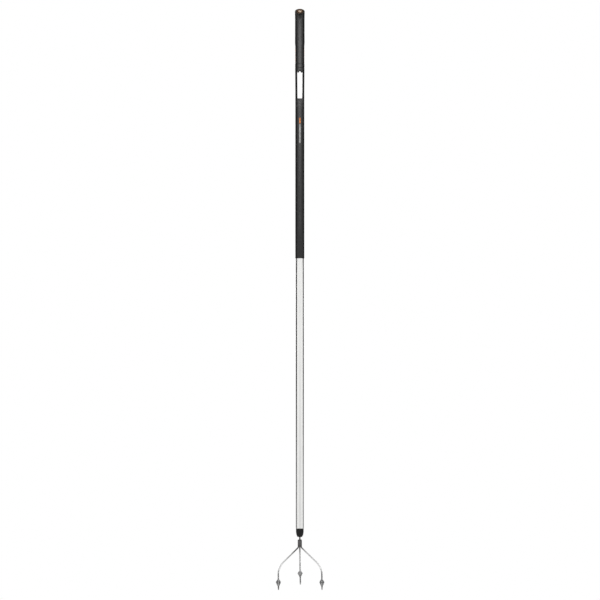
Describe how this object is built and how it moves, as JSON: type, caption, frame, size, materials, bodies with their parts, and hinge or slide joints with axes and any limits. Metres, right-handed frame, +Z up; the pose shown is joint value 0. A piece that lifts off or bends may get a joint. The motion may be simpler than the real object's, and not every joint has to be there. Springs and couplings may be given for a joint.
{
  "type": "long handled cultivator",
  "caption": "Long handled garden cultivator: aluminium shaft, black grip with a hang slot and orange inlays, and a steel claw of curved tines with small diamond shares.",
  "frame": {"origin": "top of the round nail seat in the hang slot, on the shaft's axis", "axes": "+Z up the shaft towards the grip's end, -Y the way the tines hook, +X to the right seen from the front"},
  "size_m": [0.133, 0.0921, 1.5899],
  "materials": {
    "tube": "satin anodised",
    "grip_plastic": "fine grain",
    "soft_grip": "soft touch matte",
    "accent": "satin",
    "ferrule_plastic": "matte",
    "pin_steel": "bright",
    "tine_steel": "satin plated",
    "weld_steel": "as welded",
    "share_steel": "satin plated"
  },
  "bodies": {
    "root": {"shaft_tube": "tube", "grip_sleeve": "grip_plastic", "hang_frame": "grip_plastic", "frame_pin": "pin_steel", "soft_grip": "soft_grip", "end_inlay": "accent", "left_inlay": "accent", "right_inlay": "accent", "ferrule": "ferrule_plastic", "head_pin": "pin_steel", "centre_tine": "tine_steel", "left_tine": "tine_steel", "right_tine": "tine_steel", "left_weld": "weld_steel", "right_weld": "weld_steel", "centre_share": "share_steel", "left_share": "share_steel", "right_share": "share_steel"}
  },
  "joints": []
}
